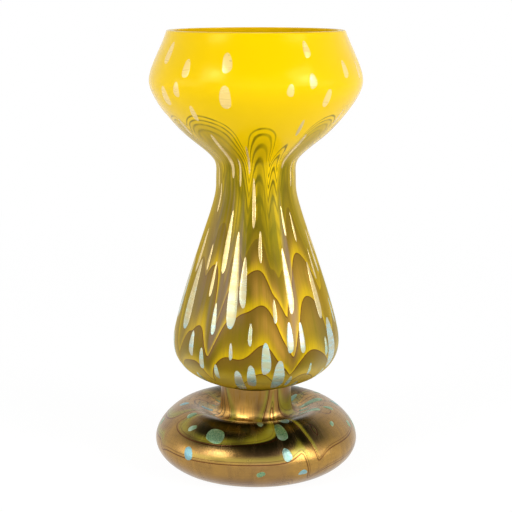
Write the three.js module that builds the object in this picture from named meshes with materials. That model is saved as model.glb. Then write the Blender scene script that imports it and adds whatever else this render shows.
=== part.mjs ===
// An art glass vase: a blown vessel of cased glass, joined hot to a stemmed cushion foot.
// Millimetres, +Z up. It stands on z = 0, and its axis is the Z axis.

import * as THREE from "three";

// Heights, each measured from the one before it, from the standing surface up to the rim
const EDGE_HEIGHT = 13.5; // the cushion's widest line, above the standing surface
const CUSHION_HEIGHT = 32.5; // the cushion's top, above the standing surface
const STEM_LENGTH = 10;
const UNDERSIDE_HEIGHT = 22; // from the stem up to the widest line of the body
const BODY_HEIGHT = 78; // from there up to the neck
const THROAT_HEIGHT = 26.5; // from the neck up to the middle of the flare
const BOWL_HEIGHT = 26.5; // from the flare up to the shoulder, the cup's widest line
const LIP_HEIGHT = 24.5; // from the shoulder up to the rim

// Outside radii
const REST_RADIUS = 39.5;
const EDGE_RADIUS = 51.8;
const FILLET_RADIUS = 24; // where the stem's fillet runs out on the cushion
const STEM_RADIUS = 18;
const BODY_RADIUS = 42;
const NECK_RADIUS = 20;
const FLARE_RADIUS = 34.5;
const CUP_RADIUS = 52.5;
const RIM_RADIUS = 43.5;

// Slopes of the outside, in degrees
const LIP_SLOPE = 18; // off plumb, the cup closing in towards the rim
const FLARE_SLOPE = 51; // off plumb, the cup closing in towards the neck
const UNDERSIDE_SLOPE = 17; // off level, where the body meets the stem
const CUSHION_RISE = 6; // off level, the cushion swelling up around the stem

// How far each curve keeps to the slope at its end before it turns
const LIP_REACH = 10;
const SHOULDER_REACH_UP = 7;
const SHOULDER_REACH_DOWN = 8.5;
const FLARE_REACH_UP = 4;
const FLARE_REACH_DOWN = 23;
const NECK_REACH_UP = 15.5;
const NECK_REACH_DOWN = 9;
const BODY_REACH_UP = 15.5;
const BODY_REACH_DOWN = 12;
const UNDERSIDE_REACH = 14.5;
const STEM_REACH = 9;
const FILLET_REACH = 6;
const CUSHION_REACH = 16;
const EDGE_REACH_UP = 8;
const EDGE_REACH_DOWN = 8;
const REST_REACH = 2;

// The glass
const CASING_WALL = 1.5; // the decorated outer layer, on the vessel and on the foot
const RIM_WALL = 3.2; // both layers together at the rim
const FLOOR_WALL = 8; // both layers together under the vessel's floor
const LAYER_GAP = 0.3; // clearance between the layers

// The underside of the foot
const REST_WIDTH = 4; // the ground ring that the vase stands on
const HOLLOW_START = 1; // the core's height above the standing surface, just inside the ring
const HOLLOW_DEPTH = 3;
const PONTIL_RADIUS = 13; // the polished print where the rod was broken off
const PONTIL_DEPTH = 1.5;

// How finely the curves are cut
const STEPS = 6; // straight stretches in each curve of the outline
const SIDES = 40; // around the axis

const STEM_TOP = CUSHION_HEIGHT + STEM_LENGTH;
const BODY_WIDEST = STEM_TOP + UNDERSIDE_HEIGHT;
const NECK = BODY_WIDEST + BODY_HEIGHT;
const FLARE = NECK + THROAT_HEIGHT;
const SHOULDER = FLARE + BOWL_HEIGHT;
const RIM = SHOULDER + LIP_HEIGHT;

// A place that an outline passes on its way down. The angle is how far it heads outwards from
// straight down, and the reaches are how far its curves keep to that heading.
function station(radius, height, angle, reachBefore, reachAfter) {
  const turn = THREE.MathUtils.degToRad(angle);
  const heading = new THREE.Vector2(Math.sin(turn), -Math.cos(turn));
  return { point: new THREE.Vector2(radius, height), heading, reachBefore, reachAfter };
}

function curveBetween(upper, lower) {
  return new THREE.CubicBezierCurve(
    upper.point,
    upper.point.clone().addScaledVector(upper.heading, upper.reachAfter),
    lower.point.clone().addScaledVector(lower.heading, -lower.reachBefore),
    lower.point,
  );
}

// Places down an outline, each with the direction that faces out of the glass.
function placesAlong(stations) {
  const places = [];
  stations.slice(1).forEach((lower, i) => {
    const upper = stations[i];
    const curve = curveBetween(upper, lower);
    for (let k = i === 0 ? 0 : 1; k <= STEPS; k++) {
      let heading = curve.getTangent(k / STEPS);
      if (k === 0) heading = upper.heading;
      if (k === STEPS) heading = lower.heading;
      const outwards = new THREE.Vector2(-heading.y, heading.x);
      places.push({ point: curve.getPoint(k / STEPS), outwards });
    }
  });
  return places;
}

// The outline moved into the glass by a depth that may change on the way down. Its upper end
// stays level with the outline's, and its lower end meets the flat face that closes the outline.
function inset(places, depthAt) {
  const last = places.length - 1;
  return places.map(({ point, outwards }, i) => {
    const depth = depthAt(i / last);
    if (i === 0) return new THREE.Vector2(point.x - depth / outwards.x, point.y);
    if (i < last) return point.clone().addScaledVector(outwards, -depth);
    return new THREE.Vector2(point.x - (depth * outwards.x) / (1 - outwards.y), point.y + depth);
  });
}

const onAxis = (height) => new THREE.Vector2(0, height);
const upwards = (points) => [...points].reverse();

// A solid of revolution about Z. Its profile runs anticlockwise, with the radius to the right.
function turned(name, profile, material) {
  const geometry = new THREE.LatheGeometry(profile, SIDES).rotateX(Math.PI / 2);
  const mesh = new THREE.Mesh(geometry, material);
  mesh.name = name;
  return mesh;
}

const vesselPlaces = placesAlong([
  station(RIM_RADIUS, RIM, LIP_SLOPE, 0, LIP_REACH),
  station(CUP_RADIUS, SHOULDER, 0, SHOULDER_REACH_UP, SHOULDER_REACH_DOWN),
  station(FLARE_RADIUS, FLARE, -FLARE_SLOPE, FLARE_REACH_UP, FLARE_REACH_DOWN),
  station(NECK_RADIUS, NECK, 0, NECK_REACH_UP, NECK_REACH_DOWN),
  station(BODY_RADIUS, BODY_WIDEST, 0, BODY_REACH_UP, BODY_REACH_DOWN),
  station(STEM_RADIUS, STEM_TOP, UNDERSIDE_SLOPE - 90, UNDERSIDE_REACH, 0),
]);

const footPlaces = placesAlong([
  station(STEM_RADIUS, STEM_TOP, 0, 0, STEM_REACH),
  station(FILLET_RADIUS, CUSHION_HEIGHT, 90 + CUSHION_RISE, FILLET_REACH, CUSHION_REACH),
  station(EDGE_RADIUS, EDGE_HEIGHT, 0, EDGE_REACH_UP, EDGE_REACH_DOWN),
  station(REST_RADIUS, 0, -90, REST_REACH, 0),
]);

const surface = ({ point }) => point;
const casingDepth = () => CASING_WALL;
const coreDepth = () => CASING_WALL + LAYER_GAP;
const wallDepth = (share) => RIM_WALL + (FLOOR_WALL - RIM_WALL) * share ** 2;

// The outer layer of the vessel: rim, cup, neck and body, closed underneath by the disc that
// the stem is joined to.
function vesselCasing() {
  const profile = [
    onAxis(STEM_TOP),
    ...upwards(vesselPlaces.map(surface)),
    ...inset(vesselPlaces, casingDepth),
    onAxis(STEM_TOP + CASING_WALL),
  ];
  const material = new THREE.MeshStandardMaterial({ color: "#8f7a1c", roughness: 0.3, metalness: 0.35 });
  return turned("vessel_casing", profile, material);
}

// The inner layer of the vessel, of opaque yellow glass, thicker towards the floor.
function vesselLining() {
  const profile = [
    onAxis(STEM_TOP + CASING_WALL + LAYER_GAP),
    ...upwards(inset(vesselPlaces, coreDepth)),
    ...inset(vesselPlaces, wallDepth),
    onAxis(STEM_TOP + FLOOR_WALL),
  ];
  const material = new THREE.MeshStandardMaterial({ color: "#f6d406", roughness: 0.3, metalness: 0 });
  return turned("vessel_lining", profile, material);
}

// The outer layer of the stem and the cushion, turned under to the ground ring.
function footCasing() {
  const lipRadius = REST_RADIUS - REST_WIDTH;
  const profile = [
    new THREE.Vector2(lipRadius, 0),
    ...upwards(footPlaces.map(surface)),
    ...inset(footPlaces, casingDepth),
    new THREE.Vector2(lipRadius, CASING_WALL),
    new THREE.Vector2(lipRadius, 0),
  ];
  const material = new THREE.MeshStandardMaterial({ color: "#a5834c", roughness: 0.28, metalness: 0.6 });
  return turned("foot_casing", profile, material);
}

// Points out along the underside of the core: a shallow ground hollow with the pontil print
// polished into its middle.
function underside(edgeRadius) {
  const inPrint = [0, PONTIL_RADIUS / 3, (2 * PONTIL_RADIUS) / 3];
  const outside = [0, 1 / 3, 2 / 3, 1].map((share) => PONTIL_RADIUS + share * (edgeRadius - PONTIL_RADIUS));
  return [...inPrint, ...outside].map((radius) => {
    const hollow = HOLLOW_DEPTH * (1 - (radius / edgeRadius) ** 2);
    const print = PONTIL_DEPTH * Math.max(0, 1 - (radius / PONTIL_RADIUS) ** 2);
    return new THREE.Vector2(radius, HOLLOW_START + hollow + print);
  });
}

// The solid glass inside the stem and the cushion.
function footCore() {
  const edgeRadius = REST_RADIUS - REST_WIDTH - LAYER_GAP;
  const profile = [
    ...underside(edgeRadius),
    new THREE.Vector2(edgeRadius, CASING_WALL + LAYER_GAP),
    ...upwards(inset(footPlaces, coreDepth)),
    onAxis(STEM_TOP),
  ];
  const material = new THREE.MeshStandardMaterial({ color: "#c39a1c", roughness: 0.15, metalness: 0 });
  return turned("foot_core", profile, material);
}

const vase = new THREE.Group();
vase.add(vesselLining(), vesselCasing(), footCore(), footCasing());

export default vase;
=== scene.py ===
import math
from collections import namedtuple
from functools import cache

import bpy
import numpy as np
from bpy.props import FloatProperty, FloatVectorProperty, IntProperty, PointerProperty
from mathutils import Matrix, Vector


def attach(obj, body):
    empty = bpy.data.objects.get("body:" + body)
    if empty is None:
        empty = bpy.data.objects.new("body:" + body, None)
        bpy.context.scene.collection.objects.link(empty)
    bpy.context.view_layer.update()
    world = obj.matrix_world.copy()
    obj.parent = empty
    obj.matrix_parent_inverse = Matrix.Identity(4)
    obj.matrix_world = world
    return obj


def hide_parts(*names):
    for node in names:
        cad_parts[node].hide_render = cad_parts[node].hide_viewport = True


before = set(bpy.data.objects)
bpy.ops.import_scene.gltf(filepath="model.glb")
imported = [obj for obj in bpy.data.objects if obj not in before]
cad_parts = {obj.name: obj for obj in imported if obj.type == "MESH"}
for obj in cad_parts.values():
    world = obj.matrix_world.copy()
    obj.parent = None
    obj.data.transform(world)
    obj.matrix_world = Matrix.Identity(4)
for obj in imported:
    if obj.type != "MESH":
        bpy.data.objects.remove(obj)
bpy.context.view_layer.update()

bl_info = {
    "name": "Threaded Lustre Vase",
    "version": (1, 0, 0),
    "blender": (4, 5, 0),
    "location": "View3D > Sidebar > Vase",
    "description": "Dresses a turned glass vase with pulled threads, lustre and silver spots",
    "category": "Object",
}

MM = 0.001
FULL_TURN = 2 * math.pi


# Outlines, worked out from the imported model

SAME_PLACE = 1e-6  # metres: corners of the model closer than this are one corner
SHARP_TURN = math.radians(40)  # the outline turns by more than this only at a real edge


def outline_of(node):
    """The node's profile as (radius, height) pairs, walked along its mesh where it crosses azimuth 0.

    A solid that reaches the axis is walked from its lowest point there. A ring is walked from the inner edge
    of its lowest face, outwards, and back to where it began."""
    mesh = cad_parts[node].data
    places = [tuple(np.round(vertex.co, 6)) for vertex in mesh.vertices]
    on_plane = {p for p in places if abs(p[1]) < SAME_PLACE and p[0] > -SAME_PLACE}
    neighbours = {place: set() for place in on_plane}
    for polygon in mesh.polygons:
        ring = [places[i] for i in polygon.vertices]
        for a, b in zip(ring, ring[1:] + ring[:1]):
            if a != b and a in on_plane and b in on_plane:
                neighbours[a].add(b)
                neighbours[b].add(a)

    def lowest(choices):
        return min(choices, key=lambda place: (place[2], place[0]))

    ends = [place for place in on_plane if len(neighbours[place]) == 1]
    walk = [lowest(ends or on_plane)]
    walk.append(lowest(neighbours[walk[0]]))
    while walk[-1] != walk[0]:
        onwards = neighbours[walk[-1]] - {walk[-2]}
        if not onwards:
            break
        walk.append(onwards.pop())
    return np.array([(x, z) for x, y, z in walk])


def step_up(x, low, high):
    """Goes smoothly from 0 to 1 while x goes from low to high."""
    t = np.clip((x - low) / (high - low), 0, 1)
    return t * t * (3 - 2 * t)


def lengths_along(points):
    """How far along a line each of its points lies."""
    return np.concatenate([[0], np.cumsum(np.linalg.norm(np.diff(points, axis=0), axis=1))])


def unit(vector):
    return vector / np.linalg.norm(vector)


def is_edge(points, i):
    """Whether the outline has a real edge at a point, or begins or ends a straight stretch there."""
    before = points[i] - points[i - 1]
    after = points[i + 1] - points[i]
    straight = any(np.abs(step).min() < SAME_PLACE for step in (before, after))
    turn = np.arctan2(after[1], after[0]) - np.arctan2(before[1], before[0])
    turn = abs((turn + math.pi) % FULL_TURN - math.pi)
    return straight or turn > SHARP_TURN


def smooth_run(points, spacing):
    """A natural cubic curve through the points, with places at about the spacing."""
    if len(points) < 3:
        return points
    along = lengths_along(points)
    steps = np.diff(along)
    count = len(points)
    system = np.eye(count)
    sides = np.zeros((count, 2))
    for i in range(1, count - 1):
        system[i, i - 1 : i + 2] = steps[i - 1], 2 * (steps[i - 1] + steps[i]), steps[i]
        slopes = np.diff(points[i - 1 : i + 2], axis=0) / steps[i - 1 : i + 1, None]
        sides[i] = 6 * (slopes[1] - slopes[0])
    bends = np.linalg.solve(system, sides)
    places = np.linspace(0, along[-1], max(2, round(along[-1] / spacing)) + 1)
    i = np.clip(np.searchsorted(along, places) - 1, 0, count - 2)
    step = steps[i][:, None]
    b = (places - along[i])[:, None] / step
    a = 1 - b
    curve = a * points[i] + b * points[i + 1]
    return curve + ((a**3 - a) * bends[i] + (b**3 - b) * bends[i + 1]) * step**2 / 6


def runs_of(outline):
    """The outline cut at its edges."""
    edges = [i for i in range(1, len(outline) - 1) if is_edge(outline, i)]
    return [outline[a : b + 1] for a, b in zip([0] + edges, edges + [len(outline) - 1])]


ROUNDING_STEPS = 5  # straight stretches in each rounded edge


def joined(runs, rounding):
    """The runs in one outline, with each sharp edge between them rounded off."""
    line = list(runs[0])
    for run in runs[1:]:
        edge = run[0]
        into, out = unit(line[-1] - line[-2]), unit(run[1] - edge)
        if math.acos(np.clip(into @ out, -1, 1)) < SHARP_TURN or rounding == 0:
            line.extend(run[1:])
            continue
        while len(line) > 1 and np.linalg.norm(line[-1] - edge) < rounding:
            line.pop()
        start, end = edge - into * rounding, edge + out * rounding
        shares = np.linspace(0, 1, ROUNDING_STEPS + 1)[:, None]
        line.extend((1 - shares) ** 2 * start + 2 * shares * (1 - shares) * edge + shares**2 * end)
        line.extend(point for point in run[1:] if np.linalg.norm(point - edge) > rounding)
    return np.array(line)


def softened(points, reach):
    """An evenly spaced line with its tight bends eased over the reach, and its ends left as they are."""
    along = lengths_along(points)
    room = np.minimum(along, along[-1] - along)
    spread = np.minimum(reach, room / 3) + SAME_PLACE
    weights = np.exp(-0.5 * ((along[None] - along[:, None]) / spread[:, None]) ** 2)
    weights /= weights.sum(axis=1, keepdims=True)
    return weights @ points


STEM_SINKS = 6 * MM  # how much lower the stem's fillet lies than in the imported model
SINKING_RADII = (20 * MM, 37 * MM)  # between them the lowering fades out
CUSHION_HEIGHTS = (6 * MM, 26 * MM)  # between them it comes in, on the way up
STEM_HEIGHTS = (34 * MM, 42.4 * MM)  # between them it fades out again, below the joint


def sunk(runs):
    """The foot's outline, lowered around the stem's fillet. Its joint and its underside are left alone."""
    lowered = []
    for radius, height in (run.T for run in runs):
        near_stem = 1 - step_up(radius, *SINKING_RADII)
        on_top = step_up(height, *CUSHION_HEIGHTS) * (1 - step_up(height, *STEM_HEIGHTS))
        lowered.append(np.stack([radius, height - STEM_SINKS * near_stem * on_top], axis=-1))
    return lowered


VESSEL_RUNS = runs_of(outline_of("vessel_casing"))
LINING_RUNS = runs_of(outline_of("vessel_lining"))
FOOT_RUNS = sunk(runs_of(outline_of("foot_casing")))
CORE_RUNS = sunk(runs_of(outline_of("foot_core")))
VESSEL_OUTSIDE = VESSEL_RUNS[1]  # from the joint with the stem up to the rim
CASING_INSIDE = VESSEL_RUNS[3]  # the inside of the vessel's outer layer, from the rim down to the floor
LINING_INSIDE = LINING_RUNS[3]
FINE_SPACING = 0.5 * MM  # for outlines that are measured along
FOOT_EASING = 2 * MM  # how far the foot's tight bends are eased
FOOT_OUTSIDE = softened(smooth_run(FOOT_RUNS[1], FINE_SPACING), FOOT_EASING)  # from the ground ring up


def landmarks(outside):
    """Heights on the vessel: its rim, the cup's widest line, the neck, the body's widest line, the joint."""
    radii, heights = outside.T
    middle = len(radii) // 2
    body = np.argmax(radii[:middle])
    cup = middle + np.argmax(radii[middle:])
    neck = body + np.argmin(radii[body:cup])
    return [heights[i] for i in (-1, cup, neck, body, 0)]


RIM, CUP, NECK, BODY, JOINT = landmarks(VESSEL_OUTSIDE)


# How the threads lie. The glassmaker winds them on the small gather, combs them down and up, and then
# blows and draws the gather out, which stretches them. The tables go from landmark to landmark down the
# vessel: 0 is the rim, 1 the cup's widest line, 2 the neck, 3 the body's widest line, 4 the joint.

THREAD_SEED = 12
THREADS_PASSED = (
    (0, -9), (0.82, -4), (1.22, 0), (1.34, 2.2), (1.46, 4.6), (1.58, 6), (1.86, 7), (2.1, 7.6),
    (2.29, 8.3), (2.55, 9.2), (2.75, 9.8), (2.96, 10.4), (3.39, 11.2), (3.8, 11.9), (4, 12.3),
)
NECK_PULL = ((0, 5), (1.58, 5.4), (1.86, 4.6), (2.1, 3.2), (2.29, 2), (2.55, 0.9), (2.75, 0.4), (3.2, 0))
BODY_PULL = ((0, 0), (2.1, 0.1), (2.3, 0.8), (2.6, 1.25), (2.9, 1.35), (3.3, 1.3), (4, 1.1))
LIFT = ((0, 0), (1.86, 0), (2.22, 0.3), (2.55, 0.5), (2.75, 0.45), (3.2, 0.35), (4, 0.1))
DRAWN_OUT = (
    (0, 2), (1.2, 2.2), (1.48, 3.5), (1.76, 6.5), (2.42, 6.5), (2.74, 5), (3, 3.4), (3.66, 2.4), (4, 1.8),
)
BODY_PATTERN = (95 * MM, 150 * MM)  # heights between which the body's pattern gives way to the neck's

# A comb's strokes: how many, how far each misses its even place, the weakest and the strongest pull, and
# their shape across: the reach of the crest and of its broad foot, the share of the pull that the foot has,
# and how blunt the crest is. All but the pulls and the share are in radians.
Comb = namedtuple("Comb", "strokes stray weakest strongest crest foot foot_share bluntness")
NECK_COMB = Comb(12, 0.15, 0.6, 1.2, 0.09, 0.28, 0.5, 0.02)  # its strokes make the arches around the neck
BODY_COMB = Comb(8, 0.13, 0.75, 1.3, 0.14, 0.4, 0.2, 0.02)  # longer strokes that reach down the body
LIFT_COMB = Comb(4, 0.25, 0.4, 1, 0.14, 0.35, 0.5, 0.12)  # strokes the other way
FIRST_STROKE = 0.2  # radians

# How unsteady the hand was. Where there are two numbers, the first is for the neck and the second for the
# body, and the pattern goes from one to the other between them.
STROKE_WANDER = (0.06, 0.12)  # radians that a stroke strays from straight
THREAD_RISE = (0.8, 0.3)  # threads that the winding strays up and down
STROKE_UNEVENNESS = 0.3  # of a body stroke's length
TREMBLE = 0.16  # threads, on the body alone
WAVE_LENGTHS = (0.6, 1.4)  # shares of a wave's given length that it may have


def at_heights(table):
    """A table's landmarks turned into heights in metres, lowest first."""
    heights = np.interp([place for place, value in table], range(5), (RIM, CUP, NECK, BODY, JOINT))
    return sorted(zip(heights, [value for place, value in table]))


def eased(x, table):
    """The table's value at x, on a curve that never overshoots the table's own values."""
    xs, ys = np.array(table, float).T
    slopes = np.diff(ys) / np.diff(xs)
    same_way = slopes[1:] * slopes[:-1] > 0
    total = np.where(same_way, slopes[1:] + slopes[:-1], 1)
    inner = np.where(same_way, 2 * slopes[1:] * slopes[:-1] / total, 0)
    tangents = np.concatenate([slopes[:1], inner, slopes[-1:]])
    x = np.clip(x, xs[0], xs[-1])
    i = np.clip(np.searchsorted(xs, x) - 1, 0, len(xs) - 2)
    run = xs[i + 1] - xs[i]
    t = (x - xs[i]) / run
    rise = (3 * t**2 - 2 * t**3) * (ys[i + 1] - ys[i]) + ys[i]
    return rise + (t**3 - 2 * t**2 + t) * run * tangents[i] + (t**3 - t**2) * run * tangents[i + 1]


def waver(random, turns, lengths):
    """A smooth wavering between about -1 and 1, of waves that go round the axis in whole turns.

    The lengths are how far down the glass a wave goes through about one radian."""
    parts = [
        (turn, length * random.uniform(*WAVE_LENGTHS), random.uniform(0, FULL_TURN))
        for turn in turns
        for length in lengths
    ]

    def value(angle, down):
        waves = sum(np.cos(turn * angle + down / length + start) for turn, length, start in parts)
        return waves / math.sqrt(len(parts))

    return value


def combed(random, comb, first):
    """A function that says how hard the strokes of a comb pull at an angle."""
    stray = random.uniform(-comb.stray, comb.stray, comb.strokes)
    places = first + np.arange(comb.strokes) * FULL_TURN / comb.strokes + stray
    pulls = random.uniform(comb.weakest, comb.strongest, comb.strokes)

    def pull_at(angle):
        total = 0
        for place, pull in zip(places, pulls):
            off = (angle - place + math.pi) % FULL_TURN - math.pi
            away = np.sqrt(off**2 + comb.bluntness**2) - comb.bluntness
            crest = (1 - comb.foot_share) * np.exp(-away / comb.crest)
            total = total + pull * (crest + comb.foot_share * np.exp(-away / comb.foot))
        return total

    return pull_at


GATHER_ROWS = 1000
GATHER_HEIGHTS = np.linspace(RIM, JOINT, GATHER_ROWS)
GATHER_STEPS = -np.diff(GATHER_HEIGHTS) / eased(GATHER_HEIGHTS[1:], at_heights(DRAWN_OUT))
GATHER_DEPTHS = np.concatenate([[0], np.cumsum(GATHER_STEPS)])
GATHER_RADIUS = float(VESSEL_OUTSIDE[:, 0][VESSEL_OUTSIDE[:, 1] < NECK].max())


def between(pair, share):
    return pair[0] + (pair[1] - pair[0]) * share


def gather_depth(height):
    """How far down the small gather a height on the finished vessel was, before it was drawn out."""
    return np.interp(-height, -GATHER_HEIGHTS, GATHER_DEPTHS)


def vessel_threads():
    """A function that numbers the threads: a whole number at each thread, growing on the way down."""
    random = np.random.default_rng(THREAD_SEED)
    neck = combed(random, NECK_COMB, FIRST_STROKE)
    body = combed(random, BODY_COMB, FIRST_STROKE + NECK_COMB.stray)
    lift = combed(random, LIFT_COMB, random.uniform(0, FULL_TURN))
    rise = waver(random, (1, 2, 3), (7 * MM, 14 * MM))
    twist = waver(random, (1, 2, 4), (5 * MM, 10 * MM))
    strength = waver(random, (2, 3, 5), (3 * MM, 6 * MM))
    unsteady = waver(random, (7, 11, 15), (5 * MM, 9 * MM))
    passed, neck_pull, body_pull, lifted = map(at_heights, (THREADS_PASSED, NECK_PULL, BODY_PULL, LIFT))

    def number(angle, height):
        depth = gather_depth(height)
        on_body = 1 - step_up(height, *BODY_PATTERN)
        place = angle + between(STROKE_WANDER, on_body) * twist(angle, depth)
        longer = 1 + STROKE_UNEVENNESS * strength(angle, depth)
        return (
            eased(height, passed)
            - eased(height, neck_pull) * neck(place)
            - eased(height, body_pull) * body(place) * longer
            + eased(height, lifted) * lift(place)
            + between(THREAD_RISE, on_body) * rise(angle, depth)
            + TREMBLE * on_body * unsteady(angle, depth)
        )

    return number


# The same on the foot. Its tables go by the millimetres from the joint, down the stem and out over the
# cushion. One comb draws the threads up to the stem, and the other draws them outwards.

FOOT_SEED = 4
FOOT_THREADS = ((0, 0), (13, 0.3), (30, 0.65), (40, 1.1), (47, 1.75), (53, 2.5), (60, 3.3), (72, 4.2))
FOOT_LIFT = ((0, 1.7), (13, 1.8), (30, 1.6), (47, 1.1), (60, 0.6), (72, 0.3))
FOOT_PULL = ((0, 0), (25, 0.1), (40, 0.7), (50, 0.9), (72, 0.5))
FOOT_LIFT_COMB = Comb(5, 0.22, 0.6, 1.3, 0.12, 0.4, 0.45, 0.04)
FOOT_PULL_COMB = Comb(4, 0.22, 0.4, 1.2, 0.08, 0.3, 0.5, 0.03)
FOOT_FIRST_PULL = 0.5  # radians
FOOT_STROKE_WANDER = 0.1  # radians
FOOT_THREAD_RISE = 0.25  # threads
FOOT_RADIUS = float(FOOT_OUTSIDE[:, 0].max())


def foot_length(radius, height):
    """How far down the outside of the foot a place is, from the joint, in metres."""
    points = FOOT_OUTSIDE[::-1]
    places = np.stack([radius, height], axis=-1)
    best = np.full(len(places), np.inf)
    found = np.zeros(len(places))
    for a, b, start in zip(points, points[1:], lengths_along(points)):
        along = b - a
        share = np.clip(((places - a) @ along) / (along @ along), 0, 1)
        gap = np.linalg.norm(places - a - share[:, None] * along, axis=1)
        nearer = gap < best
        best = np.where(nearer, gap, best)
        found = np.where(nearer, start + share * np.linalg.norm(along), found)
    return found


def foot_threads():
    """A function that numbers the foot's threads, growing away from the stem."""
    random = np.random.default_rng(FOOT_SEED)
    lift = combed(random, FOOT_LIFT_COMB, 0)
    pull = combed(random, FOOT_PULL_COMB, FOOT_FIRST_PULL)
    rise = waver(random, (1, 2, 3), (12 * MM, 25 * MM))
    twist = waver(random, (1, 2, 3), (10 * MM, 18 * MM))

    def number(angle, length):
        place = angle + FOOT_STROKE_WANDER * twist(angle, length)
        return (
            eased(length / MM, FOOT_THREADS)
            + eased(length / MM, FOOT_LIFT) * lift(place)
            - eased(length / MM, FOOT_PULL) * pull(place)
            + FOOT_THREAD_RISE * rise(angle, length)
        )

    return number


# Node trees


def rgba(colour, brightness=1.0):
    return (*(channel * brightness for channel in colour), 1.0)


class Tree:
    """A node tree being built. Most methods add a node and give back its output."""

    def __init__(self, tree):
        self.tree = tree

    def fill(self, node, inputs):
        """Links the inputs that are other nodes' outputs, and sets the rest."""
        for key, value in inputs.items():
            if isinstance(value, bpy.types.NodeSocket):
                self.tree.links.new(value, node.inputs[key])
            else:
                node.inputs[key].default_value = value

    def add(self, kind, inputs=None, **settings):
        node = self.tree.nodes.new(kind)
        for name, value in settings.items():
            setattr(node, name, value)
        self.fill(node, inputs or {})
        return node

    def math(self, operation, *values):
        return self.add("ShaderNodeMath", dict(enumerate(values)), operation=operation).outputs[0]

    def chained(self, operation, first, *others):
        for other in others:
            first = self.math(operation, first, other)
        return first

    def plus(self, *values):
        return self.chained("ADD", *values)

    def times(self, *values):
        return self.chained("MULTIPLY", *values)

    def minus(self, value, other):
        return self.math("SUBTRACT", value, other)

    def vectors(self, operation, *values):
        return self.add("ShaderNodeVectorMath", dict(enumerate(values)), operation=operation).outputs[0]

    def measured(self, operation, *values):
        node = self.add("ShaderNodeVectorMath", dict(enumerate(values)), operation=operation)
        return node.outputs["Value"]

    def scaled(self, vector, factor):
        return self.add("ShaderNodeVectorMath", {0: vector, 3: factor}, operation="SCALE").outputs[0]

    def parts(self, vector):
        return self.add("ShaderNodeSeparateXYZ", {0: vector}).outputs

    def vector(self, x, y, z):
        return self.add("ShaderNodeCombineXYZ", {0: x, 1: y, 2: z}).outputs[0]

    def step(self, value, low, high, start=0.0, end=1.0):
        """Goes smoothly from start to end while the value goes from low to high."""
        inputs = {"Value": value, "From Min": low, "From Max": high, "To Min": start, "To Max": end}
        return self.add("ShaderNodeMapRange", inputs, interpolation_type="SMOOTHSTEP").outputs[0]

    def fall(self, value, low, high, end=0.0):
        """Goes smoothly from 1 down to the end while the value goes from low to high."""
        return self.step(value, low, high, 1.0, end)

    def band(self, value, start, full, fading, end):
        """1 while the value is between full and fading, and 0 before the start and after the end."""
        return self.times(self.step(value, start, full), self.fall(value, fading, end))

    def layers(self, colour, *layers):
        """A colour with others laid over it. Each layer is its mask, its colour and how bright that is."""
        for share, over, *brightness in layers:
            if not isinstance(over, bpy.types.NodeSocket):
                over = rgba(over, *brightness)
            colour = self.add("ShaderNodeMix", {0: share, 6: colour, 7: over}, data_type="RGBA").outputs[2]
        return colour

    def noise(self, vector, scale, detail=2.0, roughness=0.5):
        inputs = {"Vector": vector, "Scale": scale, "Detail": detail, "Roughness": roughness}
        return self.add("ShaderNodeTexNoise", inputs).outputs[0]

    def shaped(self, geometry, kind, **inputs):
        """The geometry put through one more step."""
        return self.add("GeometryNode" + kind, {"Geometry": geometry, **inputs}).outputs[0]

    def group(self, group, **inputs):
        kind = "GeometryNodeGroup" if self.tree.bl_idname == "GeometryNodeTree" else "ShaderNodeGroup"
        node = self.add(kind, node_tree=group)
        self.fill(node, {name.capitalize(): value for name, value in inputs.items()})
        return node.outputs


def new_group(kind, name, inputs, outputs):
    """An empty node group: its tree, its inputs, and a function that ends it and gives it back.

    An input is given by its default number, or else by its kind of socket, and an output by its kind."""
    group = bpy.data.node_groups.new(name, kind)

    def socket(way, label, socket_kind):
        return group.interface.new_socket(name=label, in_out=way, socket_type="NodeSocket" + socket_kind)

    for label, value in inputs.items():
        if isinstance(value, str):
            socket("INPUT", label, value)
        else:
            socket("INPUT", label, type(value).__name__.capitalize()).default_value = value
    for label, socket_kind in outputs.items():
        socket("OUTPUT", label, socket_kind)
    tree = Tree(group)
    given = tree.add("NodeGroupInput").outputs

    def end(*values):
        tree.add("NodeGroupOutput", dict(enumerate(values)))
        return group

    return tree, given, end


# Geometry Nodes groups

SWELL_SCALE = 18.0  # of the slow swelling and narrowing
SWELL_SQUEEZE = (1.0, 1.0, 0.5)  # it is twice as long up and down as sideways
LEVEL = (1.0, 1.0, 0.0)  # the share of each axis that lies level


@cache
def hand_waver_group():
    """How hand-blown glass strays from true round at a place, where the most that it strays is given."""
    tree, given, end = new_group(
        "GeometryNodeTree", "Hand waver", {"Position": "Vector", "Most": 0.0}, {"Offset": "Vector"}
    )
    place = given["Position"]
    swell = tree.noise(tree.vectors("MULTIPLY", place, SWELL_SQUEEZE), SWELL_SCALE, 0.0)
    share = tree.times(tree.minus(swell, 0.5), 2.0, given["Most"])
    outwards = tree.vectors("MULTIPLY", place, LEVEL)
    return end(tree.scaled(tree.scaled(outwards, 1 / GATHER_RADIUS), share))


def sampled(tree, given, value, index):
    """A vector read from one point of the outline."""
    inputs = {"Geometry": given["Outline"], "Value": value, "Index": index}
    return tree.add("GeometryNodeSampleIndex", inputs, data_type="FLOAT_VECTOR").outputs[0]


def outline_size(tree, given):
    return tree.shaped(given["Outline"], "AttributeDomainSize")


def kept_on(tree, geometry, name, value, kind="FLOAT", domain="POINT"):
    """The geometry with a named attribute stored on it."""
    inputs = {"Geometry": geometry, "Name": name, "Value": value}
    node = tree.add("GeometryNodeStoreNamedAttribute", inputs, data_type=kind, domain=domain)
    return node.outputs[0]


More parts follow.
